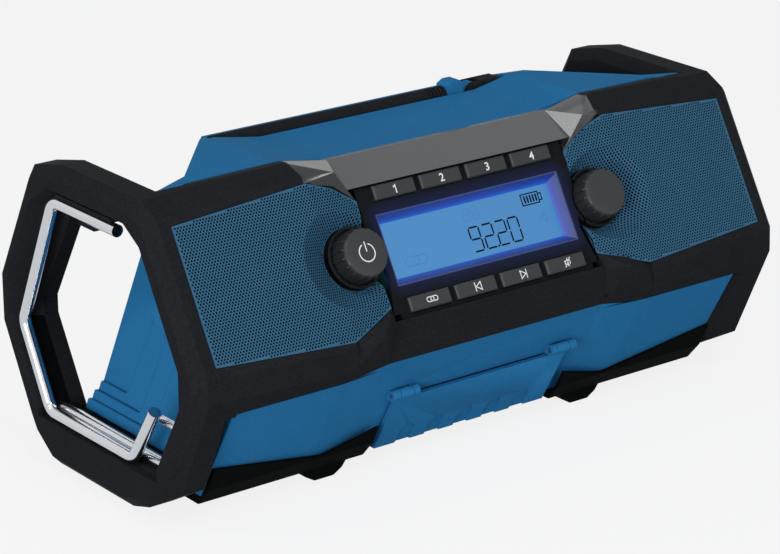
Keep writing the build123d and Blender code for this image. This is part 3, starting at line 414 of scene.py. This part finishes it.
def linerLength(trees, start, way):  # from the wall to the inside of the shell, and a little into it
    hits = [tree.ray_cast(start, way, liner["reach"] * mm) for tree in trees]
    hits = [(away, normal) for spot, normal, _, away in hits if spot]
    if not hits:
        return liner["missed"] * mm
    away, normal = min(hits, key=lambda hit: hit[0])
    return max(liner["least"] * mm, away + (liner["into"] if normal.dot(way) < 0 else -liner["short"]) * mm)


def makeLiner(side, sign):  # closes the sides of the carved hollow
    trees = []
    for node in ("front_housing", "rear_housing"):
        bm = bmesh.new()
        bm.from_mesh(nodes[node].data)
        trees.append(BVHTree.FromBMesh(bm))
        bm.free()
    wall = endWall
    floor, (lipX, rise) = wall["bottom"] - liner["floor"], wall["lip"]
    low, high, front, lowFront, rear = wall["lowTop"], wall["top"], wall["front"], wall["lowFront"], liner["rear"]
    legs = [((rear, floor), (lowFront, floor), None),  # two ends in y and z, height of the ceiling that it follows
            ((lowFront, floor), (lowFront, low + rise), None),
            ((lowFront, low), (front, low), low),
            ((front, low), (front, high + rise), None),
            ((front, high), (rear, high), high)]
    aside = Vector((0, -liner["thick"], liner["thick"])) * mm
    lowInner = abs(onWall(sign, 0, low, 0).x)
    points, polygons = [], []
    for a, b, ceiling in legs:
        way = Vector((sign, 0, 0))
        if ceiling:
            way = (Vector((sign * lipX, 0, ceiling + rise)) * mm - onWall(sign, 0, ceiling, 0)).normalized()
        rings = []
        for i in range(liner["samples"] + 1):
            y, z = (p + (q - p) * i / liner["samples"] for p, q in zip(a, b))
            start = onWall(sign, y, z, -liner["behind"])
            length = linerLength(trees, start, way)
            if a == (front, low) and z < low + rise:  # stays above the lower hollow's sloping ceiling
                length = min(length, lowInner + (z - low) / rise * (lipX * mm - lowInner) - abs(start.x))
            end = start + way * length
            rings.append([start, end, end + aside, start + aside])
        legPoints, legPolygons = tube(rings, len(points))
        points += legPoints
        polygons += legPolygons
    newPiece(side + "_end_liner", meshOf("liner", points, polygons), "chassis", "blue_plastic")


def eased(node, width):  # the CAD solid again, with its moulded edges rounded by width millimetres
    name = node + "_skin"
    piece = newPiece(name, cleanCopy(node, name), bodyOf[node], slotOf[node])
    if node in ("front_housing", "rear_housing"):
        hollowEnds(piece)
    roundEdges(piece, width)
    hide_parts(node)
    return piece


easing = {"front_housing": 0.7, "rear_housing": 0.7, "front_bezel": 0.5, "left_end_frame": 0.9,
          "right_end_frame": 0.9, "battery_door": 0.5, "left_bumper": 0.8, "right_bumper": 0.8}
keyNames = ["preset_1", "preset_2", "preset_3", "preset_4", "pairing", "previous", "next", "mute"]
easing.update({key + "_key": 0.45 for key in keyNames})
clamps = {"inner": 60.0, "outer": 92.0, "above": 118.0, "facingUp": 0.3}


def smoothClamps(piece):  # the clamps' facets and the strip between them are smoother than the grained rails
    piece.data.materials.append(paints["smooth_facet"].material)
    for polygon in piece.data.polygons:
        away, height = abs(polygon.center.x) / mm, polygon.center.z / mm
        onClamp = clamps["inner"] < away < clamps["outer"]
        onStrip = away < clamps["inner"] and polygon.normal.z > clamps["facingUp"]
        if height > clamps["above"] and (onClamp or onStrip):
            polygon.material_index = 1


for node, piece in nodes.items():
    piece.data.materials.clear()
    piece.data.materials.append(paints[slotOf[node]].material)
# the control panel takes the plastic with the painted glow around the display
nodes["control_panel"].data.materials[0] = paints["panel_plastic"].material
for node, width in easing.items():
    eased(node, width)
smoothClamps(bpy.data.objects["front_bezel_skin"])
print("shells rounded")

for side, sign in ends:
    makeEndWall(side, sign)
    makeLiner(side, sign)
print("end walls carved")


roofCorner = {"points": [(117.0, -8.5), (156.0, -26.8), (143.0, -27.2), (125.0, -12.0)], "top": 153.3, "deep": 6.0,
              "lean": 2.5, "round": 0.3}
hookClip = {"strip": ((-173.6, -14.0, 137.9), (-166.5, 33.0, 140.2)),
            "jaw": ((-166.9, 10.6, 126.0), (-163.0, 24.0, 139.5)), "round": 0.5}


def block(name, low, high):
    (ax, ay, az), (bx, by, bz) = low, high
    corners = ((ax, ay), (bx, ay), (bx, by), (ax, by))
    return prism(name, [[Vector((x, y, z)) * mm for x, y in corners] for z in (az, bz)])


def makeRoofCorner(side, sign):
    corner = roofCorner
    depths = ((corner["top"] - corner["deep"], corner["lean"]), (corner["top"], 0.0))
    outlines = [[Vector((sign * (x - inward), y, z)) * mm for x, y in corner["points"]] for z, inward in depths]
    piece = newPiece(side + "_roof_corner", prism("corner", outlines), "chassis", "blue_plastic")
    roundEdges(piece, corner["round"])


for side, sign in ends:
    makeRoofCorner(side, sign)
for part in ("strip", "jaw"):
    piece = newPiece("hook_clip_" + part, block(part, *hookClip[part]), "chassis", "charcoal_plastic")
    roundEdges(piece, hookClip["round"])
print("corners and clip added")


class Relief:  # closed plates and ribbons standing on the control face, gathered in one mesh
    def __init__(self, low, high):
        self.low, self.high, self.points, self.polygons = low, high, [], []

    def plate(self, outline):
        start, count = len(self.points), len(outline)
        for n in (self.low, self.high):
            self.points += [onFace(x, v, n) for x, v in outline]
        self.polygons.append([start + i for i in reversed(range(count))])
        self.polygons.append([start + count + i for i in range(count)])
        for i in range(count):
            j = (i + 1) % count
            self.polygons.append([start + i, start + j, start + count + j, start + count + i])

    def ribbon(self, line, width, closed=False):  # mitred at its corners
        count = len(line)
        sides = []
        for i, here in enumerate(line):
            before = line[i - 1] if closed or i else None
            after = line[(i + 1) % count] if closed or i < count - 1 else None
            steps = [Vector((b[0] - a[0], b[1] - a[1])).normalized()
                     for a, b in ((before, here), (here, after)) if a is not None and b is not None]
            along = sum(steps, Vector((0, 0))).normalized()
            across = Vector((-along.y, along.x)) * (width / 2 / max(0.4, along.dot(steps[0])))
            sides.append((Vector(here) - across, Vector(here) + across))
        start = len(self.points)
        for right, left in sides:
            self.points += [onFace(p.x, p.y, n) for p in (right, left) for n in (self.low, self.high)]
        for i in range(count if closed else count - 1):
            a, b = start + 4 * i, start + 4 * ((i + 1) % count)
            self.polygons += [[a, b, b + 1, a + 1], [a + 2, a + 3, b + 3, b + 2],
                              [a + 1, b + 1, b + 3, a + 3], [a, a + 2, b + 2, b]]
        if not closed:
            b = start + 4 * (count - 1)
            self.polygons += [[start, start + 1, start + 3, start + 2], [b, b + 2, b + 3, b + 1]]

    def piece(self, name, body, slot, paint):
        return newPiece(name, meshOf(name, self.points, self.polygons), body, slot, paints[paint])


def ring(x, v, radius, start=0.0, end=360.0, count=40):
    turn = [math.radians(start + (end - start) * i / count) for i in range(count + (end - start < 360))]
    return [(x + radius * math.cos(a), v + radius * math.sin(a)) for a in turn]


def rectangle(left, bottom, width, height):
    right, top = left + width, bottom + height
    return [(left, bottom), (right, bottom), (right, top), (left, top)]


def moved(line, x, v, way=1):
    return [(x + way * p, v + q) for p, q in line]


# the right grille, in x and v; the left one mirrors it. A fold is three points of the plane that it bends down to
grille = {"edge": [(163.4, 32.9), (88.9, 38.1), (75.0, 33.8), (62.0, 25.2), (62.0, -27.0), (74.8, -32.5),
                   (88.9, -38.2), (163.4, -32.9)],
          "gap": 0.3, "top": 0.2, "sheet": 0.6, "shadeScreenGap": 0.12, "shadeScreen": 0.5,
          "pitch": 1.626, "row": 1.302, "hole": 1.18, "margin": 0.25, "firstX": 62.5, "firstV": -39.0,
          "columns": 63, "rows": 61, "wellX": 72.0, "wellRadius": 14.9,
          "dishX": 77.5, "dishRadius": 24.5, "dishDepth": 8.0,
          "folds": [((88.9, 38.1, 0.2), (88.0, 20.0, 0.2), (62.0, 25.2, -3.8)),
                    ((88.9, -38.2, 0.2), (88.0, -20.0, 0.2), (62.0, -27.0, -3.0))]}


def inset(outline, gap):  # the outline runs anticlockwise
    lines = []
    for i, a in enumerate(outline):
        b = outline[(i + 1) % len(outline)]
        along = (Vector(b) - Vector(a)).normalized()
        shift = Vector((-along.y, along.x)) * gap
        lines.append((Vector(a) + shift, Vector(b) + shift))
    made = []
    for i, (a, b) in enumerate(lines):
        c, d = lines[i - 1]
        made.append(geometry.intersect_line_line(a.to_3d(), b.to_3d(), c.to_3d(), d.to_3d())[0].to_2d())
    return made


def grilleHeight(x, v):  # the lowest of the flat top, the folds and the cone that dishes into the knob's well
    height = grille["top"]
    for a, b, c in grille["folds"]:
        slope = (Vector(b) - Vector(a)).cross(Vector(c) - Vector(a))
        height = min(height, a[2] - (slope.x * (x - a[0]) + slope.y * (v - a[1])) / slope.z)
    dx, radius = x - grille["dishX"], grille["dishRadius"]
    if dx * dx + v * v < radius * radius:
        shift, shrink = grille["wellX"] - grille["dishX"], grille["wellRadius"] - radius
        square, single = shift ** 2 - shrink ** 2, -2 * (dx * shift + radius * shrink)
        fixed = dx * dx + v * v - radius ** 2
        share = (-single + math.sqrt(single * single - 4 * square * fixed)) / (2 * square)
        height = min(height, grille["top"] - grille["dishDepth"] * min(1.0, max(0.0, share)))
    return height


def insideOutline(x, v, outline):
    inside = False
    for i, (ax, ay) in enumerate(outline):
        bx, by = outline[i - 1]
        if (ay > v) != (by > v) and x < (bx - ax) * (v - ay) / (by - ay) + ax:
            inside = not inside
    return inside


def clearance(x, v, outline):  # distance from a point to the nearest side
    nearest = 1e9
    for i, a in enumerate(outline):
        a, b, p = Vector(a), Vector(outline[i - 1]), Vector((x, v))
        share = min(1.0, max(0.0, (p - a).dot(b - a) / (b - a).length_squared))
        nearest = min(nearest, (p - a - (b - a) * share).length)
    return nearest


def punchedHoles(outline):  # staggered rows
    keepOff = grille["hole"] / 2 + grille["margin"]
    holes = {}
    for j in range(grille["rows"]):
        for i in range(grille["columns"]):
            x = grille["firstX"] + (i + 0.5 * (j % 2)) * grille["pitch"]
            v = grille["firstV"] + j * grille["row"]
            clearOfWell = math.hypot(x - grille["wellX"], v) > grille["wellRadius"] + keepOff
            if clearOfWell and insideOutline(x, v, outline) and clearance(x, v, outline) > keepOff:
                holes[i, j] = (x, v)
    return holes


def sheetMesh(name, loops, keep, drop, thick, sign):
    # triangles between the loops, laid on the folded and dished surface and given a thickness
    points, edges = [], []
    for loop in loops:
        start = len(points)
        points += [Vector(p) for p in loop]
        if len(loop) > 1:
            edges += [(start + i, start + (i + 1) % len(loop)) for i in range(len(loop))]
    spots, _, triangles, *_ = geometry.delaunay_2d_cdt(points, edges, [], 0, 1e-6)
    kept = [t for t in triangles if keep(sum(spots[i].x for i in t) / 3, sum(spots[i].y for i in t) / 3)]
    used = sorted({i for t in kept for i in t})
    renumber = {old: new for new, old in enumerate(used)}
    heights = [grilleHeight(spots[i].x, spots[i].y) - drop for i in used]
    count = len(used)
    made = [onFace(sign * spots[i].x, spots[i].y, h) for i, h in zip(used, heights)]
    made += [onFace(sign * spots[i].x, spots[i].y, h - thick) for i, h in zip(used, heights)]
    polygons, rims = [], {}
    for t in kept:
        t = [renumber[i] for i in t]
        polygons += [t, [i + count for i in reversed(t)]]
        for a, b in zip(t, t[1:] + t[:1]):
            if (b, a) in rims:
                del rims[b, a]
            else:
                rims[a, b] = True
    polygons += [[b, a, a + count, b + count] for a, b in rims]
    if sign < 0:
        polygons = [list(reversed(p)) for p in polygons]
    mesh = bpy.data.meshes.new(name)
    mesh.from_pydata(made, [], polygons)
    return mesh


def makeGrille(side, sign):
    outline = [tuple(p) for p in inset(grille["edge"], grille["gap"])]
    holes = punchedHoles(outline)
    radius = grille["hole"] / 2
    well = ring(grille["wellX"], 0, grille["wellRadius"], count=56)
    dish = ring(grille["dishX"], 0, grille["dishRadius"], count=72)

    def onSheet(x, v):
        return insideOutline(x, v, outline) and math.hypot(x - grille["wellX"], v) > grille["wellRadius"] * 0.999

    def metal(x, v):
        j = round((v - grille["firstV"]) / grille["row"])
        for row in (j - 1, j, j + 1):
            i = round((x - grille["firstX"]) / grille["pitch"] - 0.5 * (row % 2))
            spot = holes.get((i, row))
            if spot and math.hypot(x - spot[0], v - spot[1]) < radius * 0.94:
                return False
        return onSheet(x, v)

    loops = [outline, well] + [ring(x, v, radius, 22.5, 382.5, 8) for x, v in holes.values()]
    sheet = sheetMesh(side + "_grille_sheet", loops, metal, 0.0, grille["sheet"], sign)
    piece = newPiece(side + "_grille_sheet", sheet, "chassis", "blue_mesh")
    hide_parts(side + "_grille")
    # under the holes, a near-black sheet: painted shade standing in for the dark inside behind the grille
    spots = [[(x, v)] for i, (x, v) in enumerate(holes.values()) if i % 5 == 0]
    shadeScreen = sheetMesh(side + "_grille_screen", [outline, well, dish] + spots, onSheet,
                       grille["sheet"] + grille["shadeScreenGap"], grille["shadeScreen"], sign)
    newPiece(side + "_grille_screen", shadeScreen, "chassis", "blue_mesh", paints["painted_shade_screen"])


for side, sign in ends:
    makeGrille(side, sign)
print("grilles punched")


segments = {"number": "9220", "left": -2.4, "pitch": 7.9, "width": 5.9, "top": 0.9, "bottom": -10.8, "stroke": 0.85,
            "gap": 0.25, "point": (11.7, -11.2, 1.0, 1.0), "glass": -9.6, "proud": 0.05, "sunk": 0.02}
lit = {"2": "abged", "0": "abcdef", "8": "abcdefg", "9": "abcdfg"}
battery = {"case": (33.2, 4.8, 10.4, 5.4), "tip": [(43.9, 5.9), (45.4, 5.9), (45.4, 9.1), (43.9, 9.1)], "line": 0.6,
           "bars": 5, "barPitch": 1.75, "bar": (34.6, 5.7, 1.0, 3.6)}
unlit = {"digit": "8", "lefts": (-2.6, 2.6), "bottom": 4.2, "width": 3.6, "height": 6.2, "stroke": 0.5,
         "links": (-36.0, -7.6, 2.0), "linkLine": 0.5, "hornLine": 0.45, "lower": 0.02,
         "horn": [(41.0, -2.0), (42.4, -2.0), (44.4, 0.2), (44.4, -5.4), (42.4, -3.4), (41.0, -3.4)]}


def drawDigit(relief, digit, left, bottom, width, height, stroke):
    right, top, middle = left + width, bottom + height, bottom + height / 2
    bars = {"a": ((left, top), (right, top)), "b": ((right, middle), (right, top)),
            "c": ((right, bottom), (right, middle)), "d": ((left, bottom), (right, bottom)),
            "e": ((left, bottom), (left, middle)), "f": ((left, middle), (left, top)),
            "g": ((left, middle), (right, middle))}
    for letter in lit[digit]:
        a, b = (Vector(p) for p in bars[letter])
        along = (b - a).normalized()
        across = Vector((-along.y, along.x)) * stroke / 2
        a, b = a + along * segments["gap"], b - along * segments["gap"]
        lean = along * stroke / 2
        corners = (a, a + lean - across, b - lean - across, b, b - lean + across, a + lean + across)
        relief.plate([tuple(p) for p in corners])


def chain(x, v, scale):  # two joined links
    links = []
    for shift in (-1.0, 1.0):
        cx, half, radius = x + shift * 1.15 * scale, 0.9 * scale, 1.1 * scale
        turns = ring(cx, v, radius, -90, 90, 10) + ring(cx, v, radius, 90, 270, 10)
        links.append([(px + (half if i <= 10 else -half), pv) for i, (px, pv) in enumerate(turns)])
    return links


def makeDisplay():
    low, high = segments["glass"] - segments["sunk"], segments["glass"] + segments["proud"]
    dark, faint = Relief(low, high), Relief(low, high - unlit["lower"])
    height = segments["top"] - segments["bottom"]
    for i, digit in enumerate(segments["number"]):
        left = segments["left"] + i * segments["pitch"]
        drawDigit(dark, digit, left, segments["bottom"], segments["width"], height, segments["stroke"])
    dark.plate(rectangle(*segments["point"]))
    dark.ribbon(rectangle(*battery["case"]), battery["line"], closed=True)
    dark.ribbon(battery["tip"], battery["line"])
    for i in range(battery["bars"]):
        dark.plate(moved(rectangle(*battery["bar"]), battery["barPitch"] * i, 0))
    for left in unlit["lefts"]:
        drawDigit(faint, unlit["digit"], left, unlit["bottom"], unlit["width"], unlit["height"], unlit["stroke"])
    for link in chain(*unlit["links"]):
        faint.ribbon(link, unlit["linkLine"], closed=True)
    faint.ribbon(unlit["horn"], unlit["hornLine"], closed=True)
    dark.piece("display_digits", "chassis", "lcd_glass", "segment_dark")
    faint.piece("display_faint_digits", "chassis", "lcd_glass", "segment_faint")


makeDisplay()
print("display lit")


# marks on the keys; a sign's points are measured from the middle of its key's mark
marks = {"pitch": 27.3, "keyFace": -1.6, "proud": 0.06, "sunk": 0.02, "upper": 26.2, "lower": -27.4, "aside": 0.9,
         "numeral": 5.6, "numeralAside": 0.3, "bolder": 0.06, "oneAside": 0.2, "oneLine": 0.6, "line": 0.45}
signs = {"one": [(-1.1, 1.0), (0.2, 1.75), (0.2, -2.0)],
         "horn": [(-1.6, -0.7), (-0.8, -0.7), (0.2, -1.8), (0.2, 1.8), (-0.8, 0.7), (-1.6, 0.7)],
         "slash": [(-2.0, -2.2), (2.0, 2.2)],
         "wave": ring(0.1, 0.0, 1.4, -55, 55, 10),
         "arrow": [(-1.6, -1.9), (1.4, 0.0), (-1.6, 1.9)],
         "stop": [(1.8, -2.2), (1.8, 2.2)]}


def numeral(text, x, v):
    curve = bpy.data.curves.new("numeral" + text, "FONT")
    curve.body, curve.size, curve.align_x, curve.align_y = text, marks["numeral"], "CENTER", "CENTER"
    curve.extrude, curve.offset, curve.resolution_u = marks["proud"] / 2, marks["bolder"], 4
    made = bpy.data.objects.new("numeral" + text, curve)
    bpy.context.collection.objects.link(made)
    mesh = bpy.data.meshes.new_from_object(made.evaluated_get(bpy.context.evaluated_depsgraph_get()))
    bpy.data.objects.remove(made)
    middle = marks["keyFace"] + marks["proud"] / 2 - marks["sunk"] / 2
    bm = bmesh.new()
    bm.from_mesh(mesh)
    bmesh.ops.remove_doubles(bm, verts=bm.verts, dist=1e-5)
    for vertex in bm.verts:
        p = vertex.co
        vertex.co = onFace(x + p.x, v + p.y, middle + p.z)
    bm.to_mesh(mesh)
    bm.free()
    return mesh


def keyMark():
    return Relief(marks["keyFace"] - marks["sunk"], marks["keyFace"] + marks["proud"])


def makeMarks():
    line = marks["line"]
    for i, name in enumerate(keyNames[:4]):
        x, v = (i - 1.5) * marks["pitch"], marks["upper"]
        if i == 0:
            one = keyMark()
            one.ribbon(moved(signs["one"], x + marks["oneAside"], v), marks["oneLine"])
            one.piece("preset_1_mark", "preset_1_button", "key_plastic", "mark_white")
        else:
            mesh = numeral(str(i + 1), x + marks["numeralAside"], v)
            newPiece(name + "_mark", mesh, name + "_button", "key_plastic", paints["mark_white"])
    for i, name in enumerate(keyNames[4:]):
        relief = keyMark()
        x, v = (i - 1.5) * marks["pitch"] + marks["aside"], marks["lower"]
        if name == "pairing":
            for link in chain(x, v, 1.0):
                relief.ribbon(link, line, closed=True)
        elif name == "mute":
            relief.ribbon(moved(signs["horn"], x, v), line, closed=True)
            relief.ribbon(moved(signs["wave"], x, v), line)
            relief.ribbon(moved(signs["slash"], x, v), line)
        else:
            way = 1 if name == "next" else -1
            relief.ribbon(moved(signs["arrow"], x, v, way), line, closed=True)
            relief.ribbon(moved(signs["stop"], x, v, way), line)
        relief.piece(name + "_mark", name + "_button", "key_plastic", "mark_white")


# rings: radius at the ridges, radius at the flats, height over the face; ridge and slope in degrees of turn
knob = {"x": 72.0, "flats": 18, "ridge": 2.6, "slope": 1.2, "swell": 1.004, "smooth": 28,
        "rings": [(9.6, 9.6, -9.0), (12.15, 11.75, -9.0), (12.45, 11.75, -8.6), (12.45, 11.75, 3.5),
                  (11.95, 11.65, 4.3), (11.35, 11.1, 5.3), (10.9, 10.9, 5.55), (9.8, 9.8, 5.73), (5.0, 5.0, 5.85)]}
powerMark = {"crown": 5.85, "sunk": 0.15, "proud": 0.03, "down": 0.2, "radius": 4.2, "from": 112, "to": 428,
             "line": 0.55, "stem": (0.3, 5.0)}
wellRim = {"profile": [(13.38, -4.3), (13.38, -4.0), (13.63, -3.78), (14.47, -3.72), (14.72, -3.95), (14.72, -4.3)],
           "from": -132, "sweep": 264, "steps": 60, "smooth": 35}


def knobRing(radiusRidge, radiusFlat):  # each sector has a ridge of two points and a flat of three
    ridge, slope, sector = knob["ridge"], knob["slope"], 360.0 / knob["flats"]
    turns = ((0.0, radiusRidge), (ridge, radiusRidge), (ridge + slope, radiusFlat),
             ((ridge + sector) / 2, radiusFlat * knob["swell"]), (sector - slope, radiusFlat))
    spots = [(math.radians(i * sector + turn), radius) for i in range(knob["flats"]) for turn, radius in turns]
    return [(radius * math.cos(angle), radius * math.sin(angle)) for angle, radius in spots]


def makeKnob(side, sign):
    rings = [[onFace(sign * knob["x"] + x, v, n) for x, v in knobRing(ridge, flat)] for ridge, flat, n in knob["rings"]]
    mesh = meshOf(side + "_knob_cap", *tube(rings), knob["smooth"])
    piece = newPiece(side + "_knob_cap", mesh, side + "_turn", "key_plastic")
    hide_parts(side + "_knob")


def makePowerMark():
    power, x = powerMark, -knob["x"]
    relief = Relief(power["crown"] - power["sunk"], power["crown"] + power["proud"])
    relief.ribbon(ring(x, -power["down"], power["radius"], power["from"], power["to"], 40), power["line"])
    relief.ribbon([(x, v) for v in power["stem"]], power["line"])
    relief.piece("power_mark", "volume_turn", "key_plastic", "mark_white")


def makeWellRim(side, sign):
    rings = []
    for i in range(wellRim["steps"] + 1):
        a = math.radians(wellRim["from"] + wellRim["sweep"] * i / wellRim["steps"])
        rings.append([onFace(sign * (knob["x"] + r * math.cos(a)), r * math.sin(a), n) for r, n in wellRim["profile"]])
    mesh = meshOf(side + "_well_rim", *tube(rings), wellRim["smooth"])
    newPiece(side + "_well_rim", mesh, "chassis", "charcoal_plastic")


makeMarks()
for side, sign in knobs:
    makeKnob(side, sign)
makePowerMark()
for side, sign in knobs:
    makeWellRim(side, sign)
print("keys and knobs marked")


stage = {"size": 8.0, "floor": "#C2C4C7", "pale": (0.98, 0.98, 0.985, 1.0), "sky": 0.2, "glare": 0.86}
lamps = {  # place in metres, size, watts
    "keyFront": ((-0.32, -1.19, 1.82), 0.7, 17.0),
    "keyLeft": ((-1.55, 0.16, 1.55), 0.65, 12.0),
    "above": ((1.1, 0.3, 1.64), 0.9, 2.2),
    "front": ((0.3, -2.15, 0.45), 1.6, 18.0),
    "left": ((-1.9, -1.1, 0.45), 0.8, 30.0),
}
aim = Vector((0, 0, 0.08))


def makeFloor():
    bm = bmesh.new()
    bmesh.ops.create_grid(bm, x_segments=1, y_segments=1, size=stage["size"] / 2)
    mesh = bpy.data.meshes.new("floor")
    bm.to_mesh(mesh)
    bm.free()
    floor = bpy.data.objects.new("floor", mesh)
    bpy.context.collection.objects.link(floor)
    paint = Paint("floor", stage["floor"], Roughness=0.9)
    pale = paint.node("Emission", {}, {"Color": stage["pale"], "Strength": 1.0})
    plain = Wire(paint, paint.shader.outputs[0])
    mixed = paint.node("MixShader", {}, {0: paint.seenDirectly() * stage["glare"], 1: plain, 2: pale})
    paint.join(mixed, paint.tree.nodes["Material Output"].inputs["Surface"])
    mesh.materials.append(paint.material)


def makeSky():  # white where it is seen, dim as a light
    world = bpy.data.worlds.new("world")
    world.use_nodes = True
    bpy.context.scene.world = world
    sky = NodeTree(world.node_tree)
    background = world.node_tree.nodes["Background"]
    background.inputs["Color"].default_value = (1, 1, 1, 1)
    sky.join(sky.seenDirectly() * (1.0 - stage["sky"]) + stage["sky"], background.inputs["Strength"])


def makeLamps():
    for name, (place, size, power) in lamps.items():
        light = bpy.data.lights.new(name, "AREA")
        light.size, light.energy = size, power
        lamp = bpy.data.objects.new(name, light)
        bpy.context.collection.objects.link(lamp)
        lamp.location = place
        lamp.rotation_euler = (aim - Vector(place)).to_track_quat("-Z", "Y").to_euler()


makeFloor()
makeSky()
makeLamps()
bpy.context.scene.view_settings.view_transform = "Standard"
print("stage lit")
